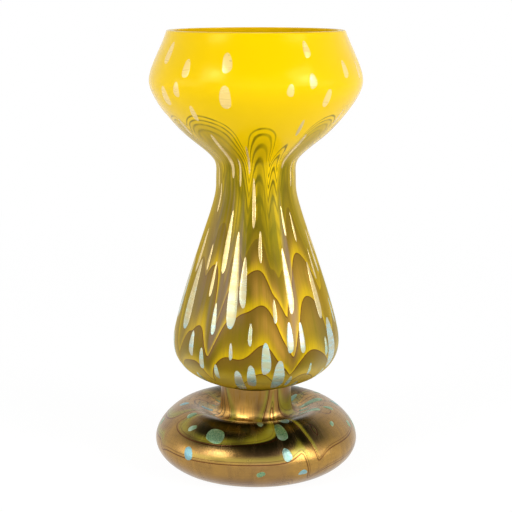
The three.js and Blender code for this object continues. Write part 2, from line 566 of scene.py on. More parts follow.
def blown(tree, given, geometry, place, angle):
    """The geometry with its points turned about the axis from their places, straying as blown glass does."""
    inputs = {"Vector": place, "Angle": angle}
    turned = tree.add("ShaderNodeVectorRotate", inputs, rotation_type="Z_AXIS").outputs[0]
    stray = tree.group(hand_waver_group(), position=turned, most=given["Waver"])[0]
    return tree.shaped(geometry, "SetPosition", Position=tree.vectors("ADD", turned, stray))


def dressed(tree, given, geometry):
    """The geometry shaded smooth and made real, in its material."""
    real = tree.shaped(tree.shaped(geometry, "SetShadeSmooth"), "RealizeInstances")
    return tree.shaped(real, "SetMaterial", Material=given["Material"])


@cache
def turned_glass_group():
    """Turns an outline about Z into a closed skin. The outline's points lie at (radius, 0, height)."""
    inputs = {"Outline": "Geometry", "Sides": 64, "Waver": 0.0, "Material": "Material"}
    tree, given, end = new_group("GeometryNodeTree", "Turned glass", inputs, {"Skin": "Geometry"})
    rows = outline_size(tree, given)
    columns = tree.plus(given["Sides"], 1)
    grid = tree.add("GeometryNodeMeshGrid", {"Vertices X": columns, "Vertices Y": rows})
    index = tree.add("GeometryNodeInputIndex").outputs[0]
    row = tree.math("MODULO", index, rows)
    column = tree.math("FLOOR", tree.math("DIVIDE", tree.plus(index, 0.5), rows))
    position = tree.add("GeometryNodeInputPosition").outputs[0]
    angle = tree.times(column, tree.math("DIVIDE", FULL_TURN, given["Sides"]))
    placed = blown(tree, given, grid.outputs["Mesh"], sampled(tree, given, position, row), angle)
    mapped = kept_on(tree, placed, "UVMap", grid.outputs["UV Map"], "FLOAT2", "CORNER")
    closed = tree.shaped(mapped, "MergeByDistance", Distance=SAME_PLACE * 2)
    return end(dressed(tree, given, closed))


SPOT_COLUMNS = 8
SPOT_ROWS = 8
SPOTS_TRIED = 60000.0  # for each square metre of the gather, before those that stand too close are left out
SHEET_ROWS = 100  # of the gather laid out flat, over which the share of spots that is kept can change
RAGGEDNESS = (1.2 * MM, 0.6 * MM, 0.0)  # how uneven the spots' outlines are, around and down
RAGGED_SCALE = 150.0
SPOT_BLUNTNESS = 6.0  # the more, the flatter a spot stays before it falls away to its edge
EDGE_SINKS = 0.5  # how deep a spot's edge lies in the glass, as a share of its thickness
THINNEST, THICKEST = 0.7, 1.3  # spots, as shares of the thickness asked for
SHORT_OF_END = 1.001  # points: keeps a place before the outline's last point, so that one comes after it


def named(tree, name, kind="FLOAT"):
    return tree.add("GeometryNodeInputNamedAttribute", {"Name": name}, data_type=kind).outputs[0]


def chance(tree, given, low, high, offset):
    """A random number for each point, drawn anew for each offset of the seed."""
    inputs = {2: low, 3: high, 8: tree.plus(given["Seed"], offset)}
    return tree.add("FunctionNodeRandomValue", inputs, data_type="FLOAT").outputs[1]


def reader_at(tree, given, depth):
    """A function that reads a vector of the outline at a depth, between its two nearest points."""
    last = tree.minus(outline_size(tree, given), SHORT_OF_END)
    share_down = tree.math("DIVIDE", tree.plus(depth, tree.times(given["Depth"], 0.5)), given["Depth"])
    place = tree.math("MINIMUM", tree.math("MAXIMUM", tree.times(share_down, last), 0.0), last)
    before = tree.math("FLOOR", place)
    after = tree.plus(before, 1.0)
    share = tree.minus(place, before)

    def read(value):
        inputs = {0: share, 4: sampled(tree, given, value, before), 5: sampled(tree, given, value, after)}
        return tree.add("ShaderNodeMix", inputs, data_type="VECTOR").outputs[1]

    return read


def scattered_points(tree, given, kept):
    """Points over the gather laid out flat, where a share of them is kept. Each has a tint of its own."""
    around = tree.times(given["Radius"], FULL_TURN)
    sheet = tree.add(
        "GeometryNodeMeshGrid",
        {"Size X": around, "Size Y": given["Depth"], "Vertices X": 2, "Vertices Y": SHEET_ROWS},
    )
    inputs = {
        "Mesh": sheet.outputs["Mesh"],
        "Distance Min": given["Apart"],
        "Density Max": SPOTS_TRIED,
        "Density Factor": kept,
        "Seed": given["Seed"],
    }
    points = tree.add("GeometryNodeDistributePointsOnFaces", inputs, distribute_method="POISSON")
    return kept_on(tree, points.outputs["Points"], "tint", chance(tree, given, 0.0, 1.0, 1))


def flat_spot(tree, given, position):
    """One spot, round but for its taper, that carries how near its edge each place on it is."""
    square = tree.add(
        "GeometryNodeMeshGrid",
        {"Size X": 2.0, "Size Y": 2.0, "Vertices X": SPOT_COLUMNS + 1, "Vertices Y": SPOT_ROWS + 1},
    )
    across, along, _ = tree.parts(position)

    def rounded(side, other):
        return tree.times(side, tree.math("SQRT", tree.minus(1.0, tree.times(other, other, 0.5))))

    x, y = rounded(across, along), rounded(along, across)
    tapered = tree.vector(tree.times(x, tree.plus(1.0, tree.times(y, given["Taper"]))), y, 0.0)
    from_middle = tree.math("MAXIMUM", tree.math("ABSOLUTE", across), tree.math("ABSOLUTE", along))
    edged = kept_on(tree, square.outputs["Mesh"], "edge", from_middle)
    return tree.shaped(edged, "SetPosition", Position=tapered)


@cache
def silver_spots_group():
    """Scatters round spots over a gather, then draws them out with it and lays them on the skin.

    The outline's points are evenly spaced down the gather. Each carries the direction that faces out, and
    what the spots are like there: the smallest radius, the largest, and the share of them that is kept."""
    inputs = {
        "Outline": "Geometry",
        "Radius": 0.04,
        "Depth": 0.1,
        "Apart": 0.006,
        "Evenness": 2.2,
        "Longer": 1.0,
        "Turn": 0.2,
        "Taper": 0.25,
        "Thickness": 0.0001,
        "Waver": 0.0,
        "Seed": 0,
        "Material": "Material",
    }
    tree, given, end = new_group("GeometryNodeTree", "Silver spots", inputs, {"Spots": "Geometry"})
    position = tree.add("GeometryNodeInputPosition").outputs[0]
    inputs = {"Vector": position, "Scale": RAGGED_SCALE, "Detail": 0.0}
    ragged = tree.vectors("SUBTRACT", tree.add("ShaderNodeTexNoise", inputs).outputs[1], (0.5, 0.5, 0.5))
    uneven = tree.vectors("MULTIPLY", ragged, RAGGEDNESS)
    around, down, _ = tree.parts(tree.vectors("ADD", position, uneven))
    read = reader_at(tree, given, down)

    smallest, largest, kept = tree.parts(read(named(tree, "spots", "FLOAT_VECTOR")))
    share = tree.math("POWER", chance(tree, given, 0.0, 1.0, 2), given["Evenness"])
    size = tree.plus(tree.times(share, tree.minus(largest, smallest)), smallest)
    length = tree.times(size, tree.plus(1.0, tree.times(given["Longer"], chance(tree, given, 0.0, 1.0, 3))))
    lean = tree.times(given["Turn"], chance(tree, given, -1.0, 1.0, 4))
    instanced = tree.add(
        "GeometryNodeInstanceOnPoints",
        {
            "Points": scattered_points(tree, given, kept),
            "Instance": flat_spot(tree, given, position),
            "Rotation": tree.vector(0.0, 0.0, lean),
            "Scale": tree.vector(size, length, 1.0),
        },
    )
    thickness = tree.times(given["Thickness"], chance(tree, given, THINNEST, THICKEST, 5))
    thick = kept_on(tree, instanced.outputs[0], "thick", thickness, domain="INSTANCE")

    crown = tree.minus(1.0, tree.math("POWER", named(tree, "edge"), SPOT_BLUNTNESS))
    proud = tree.minus(tree.times(crown, 1 + EDGE_SINKS), EDGE_SINKS)
    lift = tree.times(named(tree, "thick"), proud)
    outwards = tree.scaled(read(named(tree, "outwards", "FLOAT_VECTOR")), lift)
    unturned = tree.vectors("ADD", read(position), outwards)
    angle = tree.math("DIVIDE", around, given["Radius"])
    spots = tree.shaped(thick, "RealizeInstances")
    return end(dressed(tree, given, blown(tree, given, spots, unturned, angle)))


def grown(name, points, group, inputs, attributes=()):
    """A line of points put through a Geometry Nodes group, and made a plain mesh at the origin."""
    line = bpy.data.meshes.new(name)
    steps = [(i, i + 1) for i in range(len(points) - 1)]
    line.from_pydata([(x, 0.0, z) for x, z in points], steps, [])
    for label, values in attributes:
        store(line, label, values)
    piece = bpy.data.objects.new(name, line)
    bpy.context.collection.objects.link(piece)
    modifier = piece.modifiers.new(group.name, "NODES")
    modifier.node_group = group
    for item in group.interface.items_tree:
        if item.in_out == "INPUT" and item.name in inputs:
            modifier[item.identifier] = inputs[item.name]
    depsgraph = bpy.context.evaluated_depsgraph_get()
    mesh = bpy.data.meshes.new_from_object(
        piece.evaluated_get(depsgraph), preserve_all_data_layers=True, depsgraph=depsgraph
    )
    piece.modifiers.clear()
    piece.data = mesh
    mesh.name = name
    bpy.data.meshes.remove(line)
    return piece


def turned(name, runs, rounding, sides, waver_size, material):
    """A piece of glass turned from the runs of its outline, with its faces pointing out."""
    inputs = {"Sides": sides, "Waver": waver_size, "Material": material}
    piece = grown(name, joined(runs, rounding), turned_glass_group(), inputs)
    if enclosed(piece.data) < 0:
        piece.data.flip_normals()
    return piece


def corners_of(mesh):
    corners = np.empty(len(mesh.vertices) * 3)
    mesh.vertices.foreach_get("co", corners)
    return corners.reshape(-1, 3)


def enclosed(mesh):
    """The volume inside a closed mesh, which is negative where its faces point in."""
    mesh.calc_loop_triangles()
    triangles = np.empty(len(mesh.loop_triangles) * 3, int)
    mesh.loop_triangles.foreach_get("vertices", triangles)
    a, b, c = corners_of(mesh)[triangles.reshape(-1, 3)].transpose(1, 0, 2)
    return float(np.einsum("ij,ij->i", a, np.cross(b, c)).sum() / 6)


def store(mesh, name, values):
    """Writes one number or one vector for each vertex into the mesh."""
    values = np.asarray(values, np.float32)
    kind, field = ("FLOAT", "value") if values.ndim == 1 else ("FLOAT_VECTOR", "vector")
    mesh.attributes.new(name, kind, "POINT").data.foreach_set(field, values.ravel())


def pitch_of(number, angle, along, radius):
    """How far apart the threads lie at each place, in metres."""
    step = 0.2 * MM
    around = number(angle + step / radius, along) - number(angle - step / radius, along)
    down = number(angle, along + step) - number(angle, along - step)
    threads_per_metre = np.hypot(around, down) / (2 * step)
    return 1 / np.maximum(threads_per_metre, 1)


def lay_threads(mesh, number, along_of, depth_of, gather_radius):
    """Stores a skin's thread numbers, how far apart its threads lie, and its places on the gather."""
    x, y, height = corners_of(mesh).T
    angle, radius = np.arctan2(y, x), np.hypot(x, y)
    along = along_of(radius, height)
    store(mesh, "threads", number(angle, along))
    store(mesh, "pitch", pitch_of(number, angle, along, np.maximum(radius, MM)))
    ring = gather_radius * np.stack([np.cos(angle), np.sin(angle)])
    store(mesh, "gather", np.stack([*ring, depth_of(along)], axis=-1))


# Shader groups


@cache
def thread_lines_group():
    """Thin lines where the thread number is whole, as wide as asked wherever the threads lie apart."""
    inputs = {"Threads": 0.0, "Pitch": 0.01, "Width": 0.0004}
    outputs = {"Line": "Float", "Share": "Float"}
    tree, given, end = new_group("ShaderNodeTree", "Thread lines", inputs, outputs)
    share = tree.math("FRACT", given["Threads"])
    away = tree.times(tree.math("MINIMUM", share, tree.minus(1.0, share)), given["Pitch"])
    line = tree.fall(away, tree.times(given["Width"], 0.2), tree.times(given["Width"], 0.8))
    room = tree.step(given["Pitch"], given["Width"], tree.times(given["Width"], 5.0), 0.25, 1.0)
    return end(tree.times(line, room), share)


@cache
def bloom_group():
    """Soft clouds of metal bloom: one mask for the warm clouds and one for the cool ones."""
    inputs = {"Vector": "Vector", "Scale": 40.0}
    tree, given, end = new_group("ShaderNodeTree", "Metal bloom", inputs, {"Warm": "Float", "Cool": "Float"})
    warm = tree.noise(given["Vector"], given["Scale"], 3.0, 0.55)
    moved = tree.vectors("ADD", given["Vector"], (0.31, 0.17, 0.53))
    cool = tree.noise(moved, tree.times(given["Scale"], 1.3))
    return end(tree.step(warm, 0.38, 0.68), tree.step(cool, 0.52, 0.72))


@cache
def drawn_streaks_group():
    """Fine streaks along the way that the glass was drawn."""
    inputs = {"Vector": "Vector", "Scale": 300.0, "Stretch": 0.15}
    tree, given, end = new_group("ShaderNodeTree", "Drawn streaks", inputs, {"Streaks": "Float"})
    x, y, z = tree.parts(given["Vector"])
    flat = tree.vector(x, y, tree.times(z, given["Stretch"]))
    return end(tree.noise(flat, given["Scale"], 3.0, 0.6))


# Materials. The thread numbers, which many steps go by, start on the cup and reach about 6 at the neck and
# 12 at the joint. On the foot the steps go by the length from the joint.


class GlassTree(Tree):
    """A material's tree, with the shader that its looks feed."""

    def __init__(self, name, sample):
        self.material = bpy.data.materials.new(name)
        self.material.use_nodes = True
        self.material.diffuse_color = rgba(sample)
        super().__init__(self.material.node_tree)
        self.shader = next(node for node in self.tree.nodes if node.type == "BSDF_PRINCIPLED")

    def finished(self, **inputs):
        """Fills the shader's own sockets, and gives back the material."""
        self.fill(self.shader, {name.replace("_", " "): value for name, value in inputs.items()})
        return self.material

    def place(self):
        return self.add("ShaderNodeTexCoord").outputs["Object"]

    def stored(self, name, output="Fac"):
        return self.add("ShaderNodeAttribute", attribute_name=name).outputs[output]

    def squeezed_noise(self, vector, squeeze, scale, detail=2.0, roughness=0.5):
        """Noise drawn out sideways into bars and ripples."""
        squeezed = self.vectors("MULTIPLY", vector, (squeeze, squeeze, 1.0))
        return self.noise(squeezed, scale, detail, roughness)

    def bump(self, height, distance):
        inputs = {"Height": height, "Distance": distance, "Strength": 1.0}
        return self.add("ShaderNodeBump", inputs).outputs[0]


class ThreadedTree(GlassTree):
    """A skin's material, with what its mesh stores: the thread numbers and the places on the gather."""

    def __init__(self, name, sample, line_width, bloom_scale):
        super().__init__(name, sample)
        self.threads = self.stored("threads")
        self.pitch = self.stored("pitch")
        self.gather = self.stored("gather", "Vector")
        self.line, self.share = self.lines(self.threads, line_width)
        self.warm, self.cool = self.group(bloom_group(), vector=self.gather, scale=bloom_scale)

    def lines(self, threads, width):
        return self.group(thread_lines_group(), threads=threads, pitch=self.pitch, width=width)

    def streaks(self, scale, stretch):
        return self.group(drawn_streaks_group(), vector=self.gather, scale=scale, stretch=stretch)[0]


def neck_colour(tree, colours, streaks):
    """Yellow on the cup and the neck, with soft olive lines that thicken into streaks on the way down."""
    threads = tree.threads
    flow = tree.streaks(150.0, 0.12)
    off_middle = tree.math("ABSOLUTE", tree.minus(tree.share, 0.5))
    uneven = tree.step(tree.noise(tree.gather, 130.0), 0.35, 0.65, 0.45, 1.0)
    soft_line = tree.times(tree.fall(off_middle, 0.06, 0.3), tree.step(threads, -0.2, 0.6), uneven)
    green = tree.times(tree.step(flow, 0.48, 0.58), tree.step(threads, 3.0, 6.0))
    olive_streak = tree.times(tree.step(streaks, 0.44, 0.58), tree.step(threads, 2.5, 6.5))
    return tree.layers(
        rgba(colours.cup_yellow),
        (tree.step(threads, 0.5, 6.0), colours.neck_yellow),
        (tree.times(soft_line, 0.9), colours.olive, 0.8),
        (tree.times(green, 0.85), colours.olive, 0.9),
        (tree.times(olive_streak, 0.85), colours.olive, 1.1),
    )


def body_colour(tree, colours, streaks):
    """Olive, brown and mauve clouds on the body, with a dark thread and a bright vein above each one."""
    threads, share = tree.threads, tree.share
    low_down = tree.step(threads, 8.5, 11.3)
    glow = tree.layers(rgba(colours.brown, 0.55), (low_down, colours.brown, 1.15))
    rose = tree.step(tree.noise(tree.gather, 26.0, 1.0), 0.5, 0.6)
    browner = tree.times(tree.step(threads, 6.8, 8.2, 0.4, 0.85), tree.fall(threads, 10.8, 11.8, 0.35))
    whole = tree.step(threads, 6.8, 8.2, 0.2, 1.0)
    vein = tree.math("POWER", tree.step(share, 0.3, 1.0), tree.step(threads, 10.6, 11.8, 2.8, 1.3))
    return tree.layers(
        rgba(colours.olive),
        (low_down, colours.olive_gold, 1.1),
        (tree.times(tree.warm, tree.step(threads, 8.5, 11.0, 0.9, 0.55)), glow),
        (tree.times(tree.cool, tree.step(threads, 8.8, 9.9, 0.8, 0.05)), colours.mauve),
        (tree.times(rose, tree.band(threads, 7.0, 8.2, 9.3, 10.3), 0.75), colours.rose_gold),
        (tree.times(tree.step(streaks, 0.48, 0.66), 0.4), colours.olive, 1.1),
        (tree.times(tree.fall(share, 0.0, 0.55), browner), colours.brown, 0.72),
        (tree.times(vein, whole, tree.fall(tree.pitch, 3 * MM, 10 * MM, 0.75)), colours.vein_yellow),
        (tree.times(tree.line, whole, 0.95), colours.thread_red),
    )


def threaded_lustre(colours):
    """Yellow glass with olive and brown pulled threads under a satin lustre."""
    tree = ThreadedTree("threaded lustre", colours.olive_gold, 0.45 * MM, 42.0)
    threads = tree.threads
    streaks = tree.streaks(420.0, 0.12)
    fine = tree.streaks(1500.0, 0.15)
    broad_flow = tree.fall(tree.streaks(80.0, 0.2), 0.38, 0.5)
    lower = tree.step(threads, 5.6, 7.4)
    place = tree.place()
    height = tree.parts(place)["Z"]
    turned_under = tree.fall(height, JOINT + 8 * MM, JOINT + 18 * MM)
    underside = tree.fall(height, JOINT + 1 * MM, JOINT + 6.5 * MM)
    upright = tree.step(height, JOINT + 2 * MM, JOINT + 22 * MM)
    off_line = tree.minus(1.0, tree.times(tree.line, 0.8))
    # edge: how far the surface turns away from the view. The layers below use it to paint sheen and light
    # onto the turning edges
    edge = tree.step(tree.add("ShaderNodeLayerWeight", {"Blend": 0.5}).outputs["Facing"], 0.2, 0.85)
    colour = tree.layers(
        neck_colour(tree, colours, streaks),
        (lower, body_colour(tree, colours, streaks)),
        (tree.times(broad_flow, tree.band(threads, 4.5, 7.0, 8.3, 9.5), 0.6), colours.mauve),
        (tree.times(tree.step(fine, 0.4, 0.7), lower, 0.3), colours.brown),
        # painted light: lighter yellow low on the body where it turns under, for the light bounced up from
        # the floor
        (tree.times(turned_under, off_line, 0.75), colours.vein_yellow, 1.1),
        # painted shade: darker olive low on the body, where it turns under into the stem
        (tree.times(underside, 0.85), colours.olive, 0.4),
        # painted reflection: a pale sheen on the lower body's turning edges, where the pale surroundings
        # would reflect
        (tree.times(edge, tree.step(threads, 8.0, 11.5), upright), colours.edge_sheen),
        # painted light: bright yellow on the neck's turning edges, where the side light catches them
        (tree.times(edge, tree.band(threads, 0.8, 3.0, 7.5, 10.0), 0.7), colours.vein_yellow, 0.85),
    )
    satin = tree.step(threads, 1.0, 8.0, 0.18, 0.5)
    ripples = tree.squeezed_noise(place, 0.15, 800.0)
    relief = tree.times(tree.plus(tree.minus(fine, tree.times(tree.line, 1.5)), ripples), lower)
    return tree.finished(
        Base_Color=colour,
        Roughness=tree.plus(tree.times(tree.minus(streaks, 0.5), lower, 0.12), satin),
        Metallic=tree.times(tree.step(threads, 3.0, 9.0), tree.step(tree.cool, 0.0, 1.0, 0.58, 0.74)),
        Normal=tree.bump(relief, 0.02 * MM),
        Specular_IOR_Level=0.2,
        Specular_Tint=rgba(colours.warm_gloss),
    )


def yellow_glass(colours):
    """The opaque yellow gather inside."""
    tree = GlassTree("yellow glass", colours.cup_yellow)
    place = tree.place()
    cloud = tree.noise(place, 35.0, 3.0)
    deeper = tree.step(cloud, 0.35, 0.75)
    return tree.finished(
        Base_Color=tree.layers(rgba(colours.cup_yellow), (deeper, colours.cup_yellow, 0.9)),
        Roughness=tree.step(cloud, 0.2, 0.8, 0.2, 0.3),
        Normal=tree.bump(tree.noise(place, 120.0), 0.1 * MM),
        Specular_IOR_Level=0.5,
        Specular_Tint=rgba(colours.warm_gloss),
    )


def bronze_lustre(colours):
    """Gold-brown satin lustre over amber glass, with thin dark threads and yellow-green streaks."""
    tree = ThreadedTree("bronze lustre", colours.foot_gold, 0.5 * MM, 30.0)
    second_line, _ = tree.lines(tree.plus(tree.threads, 0.14), 0.35 * MM)
    streaks = tree.streaks(260.0, 0.3)
    fine = tree.streaks(1300.0, 0.5)
    x, y, length = tree.parts(tree.gather)
    # painted reflection: the body's dark underside mirrored on the front and back of the cushion's top, laid
    # in as dark colour
    front_and_back = tree.step(tree.times(y, y), (0.4 * FOOT_RADIUS) ** 2, (0.8 * FOOT_RADIUS) ** 2)
    painted_dark_reflection = tree.times(tree.band(length, 21 * MM, 28 * MM, 45 * MM, 52 * MM), front_and_back)
    amber = tree.times(tree.fall(length, 5 * MM, 11 * MM), tree.step(streaks, 0.35, 0.6, 0.7, 0.05))
    clouds = tree.noise(tree.gather, 26.0, 1.0)
    pool = tree.times(tree.step(clouds, 0.35, 0.47), tree.fall(length, 50 * MM, 57 * MM))
    green_streak = tree.times(tree.band(tree.share, 0.5, 0.8, 0.9, 0.97), pool)
    lines = tree.math("MAXIMUM", tree.line, tree.times(second_line, 0.7))
    rings = tree.squeezed_noise(tree.gather, 0.12, 900.0, 2.0, 0.6)
    near_stem = tree.times(tree.step(length, 10 * MM, 16 * MM), tree.fall(length, 24 * MM, 40 * MM, 0.15))
    colour = tree.layers(
        rgba(colours.foot_gold),
        # painted highlight: gold brightened round the stem's fillet, where the window light catches it
        (tree.band(length, 3 * MM, 11 * MM, 18 * MM, 24 * MM), colours.foot_gold, 2.5),
        (tree.warm, colours.foot_brown),
        # painted reflection: the dark zone on the cushion's top
        (tree.times(painted_dark_reflection, tree.step(streaks, 0.2, 0.5, 0.75, 1.0)), colours.foot_dark),
        (amber, colours.stem_amber),
        # painted highlight: a brighter gold band round the cushion's lower slope, below the painted dark
        # reflection
        (tree.times(tree.band(length, 51 * MM, 56 * MM, 59 * MM, 66 * MM), 0.35), colours.foot_gold, 1.6),
        (tree.times(tree.cool, 0.45), colours.foot_mauve),
        (tree.times(tree.step(streaks, 0.42, 0.7), 0.4), colours.foot_brown),
        (tree.times(green_streak, 0.9), colours.foot_streak),
        (tree.times(lines, 0.85), colours.thread_red),
        # the same dark colour draws the crinkle rings round the stem's base
        (tree.times(tree.fall(rings, 0.4, 0.48), near_stem, 0.6), colours.foot_dark),
    )
    satin = tree.step(length, 12 * MM, 22 * MM, 0.32, 0.26)
    grain = tree.noise(tree.place(), 900.0, 2.0, 0.6)
    relief = tree.plus(fine, grain, tree.times(rings, near_stem, 3.5), tree.times(lines, -1.2))
    return tree.finished(
        Base_Color=colour,
        Roughness=tree.plus(tree.times(tree.minus(streaks, 0.5), 0.16), satin),
        Metallic=tree.minus(0.95, tree.times(green_streak, 0.6)),
        Normal=tree.bump(relief, 0.025 * MM),
    )


PRINT_RADIUS = 13 * MM  # of the pontil print under the foot


def amber_glass(colours):
    """The underside: a ground ring and hollow, with the pontil print polished into the middle."""
    tree = GlassTree("amber glass", colours.amber)
    place = tree.place()
    from_axis = tree.measured("LENGTH", tree.vectors("MULTIPLY", place, LEVEL))
    ground = tree.step(from_axis, PRINT_RADIUS, PRINT_RADIUS + 0.6 * MM)
    grain = tree.noise(place, 2500.0, 3.0)
    dim = rgba(colours.amber, 0.8)
    return tree.finished(
        Base_Color=tree.layers(dim, (ground, colours.amber), (tree.times(grain, 0.3), colours.amber, 1.25)),
        Roughness=tree.step(ground, 0.0, 1.0, 0.08, 0.55),
        Normal=tree.bump(tree.times(grain, ground), 0.03 * MM),
    )


def spot_shade(tree, place, tint, scale):
    """Two masks that drift from spot to spot and inside each one."""
    drift = tree.noise(place, scale)
    shifted = tree.plus(tree.times(tint, 0.45), tree.times(drift, 0.8))
    return tree.step(shifted, 0.35, 0.95), tree.step(drift, 0.5, 0.7)


def vessel_silver(colours):
    """The drawn-out silver spots: peach on the cup, pale gold on the neck, ice blue on the body."""
    tree = GlassTree("drawn silver", colours.spot_ice)
    place, edge, tint = tree.place(), tree.stored("edge"), tree.stored("tint")
    height = tree.parts(place)["Z"]
    shade, cloud = spot_shade(tree, place, tint, 90.0)
    bars = tree.squeezed_noise(place, 0.2, 500.0, 1.0)
    on_cup = tree.step(height, NECK + 20 * MM, NECK + 36 * MM)
    bluer = tree.times(tree.step(edge, 0.45, 0.9), tree.step(tint, 0.3, 0.8))
    turning = tree.plus(height, tree.times(tree.minus(shade, 0.5), 30 * MM))
    peach = tree.layers(rgba(colours.spot_peach), (tree.times(shade, 0.5), colours.spot_gold, 1.1))
    barred = tree.times(tree.step(bars, 0.4, 0.6), tree.step(on_cup, 0.0, 1.0, 0.45, 0.0))
    rim = tree.times(tree.step(edge, 0.8, 1.0), tree.step(on_cup, 0.0, 1.0, 0.4, 0.1))
    colour = tree.layers(
        rgba(colours.spot_ice),
        (shade, colours.spot_green),
        (tree.times(cloud, 0.6), colours.spot_lilac),
        (tree.times(bluer, 0.6), colours.spot_sky),
        (tree.step(turning, BODY, BODY + 0.55 * (NECK - BODY)), colours.spot_gold),
        (on_cup, peach),
        (barred, colours.spot_gold, 0.72),
        (rim, colours.mauve, 0.8),
    )
    return tree.finished(
        Base_Color=colour,
        Roughness=tree.step(bars, 0.3, 0.7, 0.24, 0.36),
        Metallic=tree.step(on_cup, 0.0, 1.0, 0.5, 0.15),
    )


def foot_silver(colours):
    """The foot's silver spots, crazed all over with fine dark cracks."""
    tree = GlassTree("crazed silver", colours.spot_teal)
    place, edge, tint = tree.place(), tree.stored("edge"), tree.stored("tint")
    shade, cloud = spot_shade(tree, place, tint, 140.0)
    cells = tree.add("ShaderNodeTexVoronoi", {"Vector": place, "Scale": 1100.0}, feature="DISTANCE_TO_EDGE")
    crack = tree.fall(cells.outputs[0], 0.02, 0.16)
    colour = tree.layers(
        rgba(colours.spot_teal),
        (shade, colours.spot_green),
        (tree.times(tree.step(tint, 0.55, 0.75), 0.75), colours.spot_blue),
        (tree.times(cloud, 0.6), colours.spot_ice),
        (tree.times(crack, tree.step(tint, 0.2, 0.7, 0.8, 0.35)), colours.spot_crack),
        (tree.times(tree.step(edge, 0.8, 1.0), 0.6), colours.foot_streak),
    )
    normal = tree.bump(tree.times(crack, -1.0), 0.04 * MM)
    return tree.finished(Base_Color=colour, Roughness=0.28, Metallic=0.75, Normal=normal)


# What a user would change


def tone(name, description, default):
    return FloatVectorProperty(
        name=name, description=description, default=default, subtype="COLOR", min=0, max=1
    )


class VaseColours(bpy.types.PropertyGroup):
    cup_yellow: tone("Cup Yellow", "Opaque yellow of the cup and the inside", (0.93, 0.615, 0.0005))
    warm_gloss: tone("Warm Gloss", "Tint of the yellow glass's reflections", (1.0, 0.9, 0.35))
    neck_yellow: tone("Neck Yellow", "Yellow between the threads at the neck", (0.38, 0.26, 0.002))
    vein_yellow: tone("Vein Yellow", "Bright yellow just above each thread", (0.68, 0.46, 0.003))
    olive: tone("Olive", "Threads and streaks at the neck", (0.16, 0.13, 0.002))
    olive_gold: tone("Olive Gold", "Ground of the body", (0.25, 0.165, 0.004))
    brown: tone("Brown", "Warm clouds in the body", (0.23, 0.13, 0.015))
    mauve: tone("Mauve", "Cool clouds in the body", (0.18, 0.13, 0.125))
    rose_gold: tone("Rose Gold", "Warm patches high on the body", (0.48, 0.26, 0.04))
    # painted reflection: the pale sheen laid on the body where it turns away from the view
    edge_sheen: tone("Edge Sheen", "Lustre where the body turns away", (0.52, 0.45, 0.29))
    thread_red: tone("Thread Red", "Thin dark threads", (0.09, 0.018, 0.004))
    foot_gold: tone("Foot Gold", "Ground of the foot", (0.36, 0.205, 0.05))
    foot_brown: tone("Foot Brown", "Brown clouds in the foot", (0.22, 0.125, 0.05))
    foot_mauve: tone("Foot Mauve", "Cool clouds in the foot", (0.29, 0.165, 0.075))
    # painted reflection of the body's dark underside on the cushion's top; also the dark crinkle rings near
    # the stem
    foot_dark: tone("Foot Dark", "Dark glass on the cushion's top", (0.037, 0.029, 0.005))
    stem_amber: tone("Stem Amber", "Streaks down the stem", (0.24, 0.12, 0.012))
    foot_streak: tone("Foot Streak", "Yellow-green streaks beside the foot's threads", (0.3, 0.25, 0.012))
    spot_peach: tone("Peach Silver", "Spots on the cup", (0.97, 0.7, 0.2))
    spot_gold: tone("Pale Gold Silver", "Spots on the neck", (0.78, 0.59, 0.24))
    spot_ice: tone("Ice Silver", "Spots on the body", (0.46, 0.6, 0.56))
    spot_green: tone("Green Silver", "Green in the spots", (0.42, 0.6, 0.36))
    spot_lilac: tone("Lilac Silver", "Lilac in the body's spots", (0.52, 0.44, 0.46))
    spot_sky: tone("Sky Silver", "Blue towards the edges of the body's spots", (0.3, 0.5, 0.62))
    spot_teal: tone("Teal Silver", "Spots on the foot", (0.07, 0.2, 0.1))
    spot_blue: tone("Blue Silver", "Blue in the foot's spots", (0.16, 0.36, 0.5))
    spot_crack: tone("Crack", "Fine cracks in the foot's spots", (0.34, 0.46, 0.24))
    amber: tone("Amber", "Ground glass under the foot", (0.42, 0.27, 0.04))


def length_of(name, description, default):
    return FloatProperty(name=name, description=description, default=default, min=0, unit="LENGTH")


class VaseSizes(bpy.types.PropertyGroup):
    row_spacing: length_of("Row Spacing", "Spacing of the skins' rows down the outline", 0.95 * MM)
    hidden_spacing: length_of("Hidden Spacing", "Spacing of rows that nothing shows", 5 * MM)
    rim_rounding: length_of("Rim Rounding", "How far the fire-polished rim is rounded", 0.7 * MM)
    foot_rounding: length_of("Ring Rounding", "How far the ground ring's edges are rounded", 0.4 * MM)
    waver: length_of("Waver", "How far the blown glass strays from true round", 0.25 * MM)
    spot_thickness: length_of("Spot Thickness", "How far the silver stands proud of the glass", 0.11 * MM)
    sides: IntProperty(name="Sides", description="Columns round the skins", default=320, min=16)
    inner_sides: IntProperty(
        name="Inner Sides", description="Columns round the inner pieces", default=160, min=16
    )


class VaseStudio(bpy.types.PropertyGroup):
    distance: length_of("Camera Distance", "From the vase's axis, along the floor", 0.6683)
    height: length_of("Camera Height", "Above the floor", 0.241)
    pitch: FloatProperty(
        name="Camera Pitch",
        description="How far down it looks",
        default=math.radians(11.29),
        subtype="ANGLE",
    )
    lens: FloatProperty(name="Lens", description="Focal length in millimetres", default=95.17, min=10)
    fill: FloatProperty(name="Fill", description="Strength of the surrounding light", default=0.27, min=0)


# The pieces


class VasePiece:
    """What the pieces' operators share."""

    bl_options = {"REGISTER", "UNDO"}

    @staticmethod
    def keep(piece, slot, *nodes):
        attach(piece, "root")
        if nodes:
            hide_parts(*nodes)
        return {"FINISHED"}


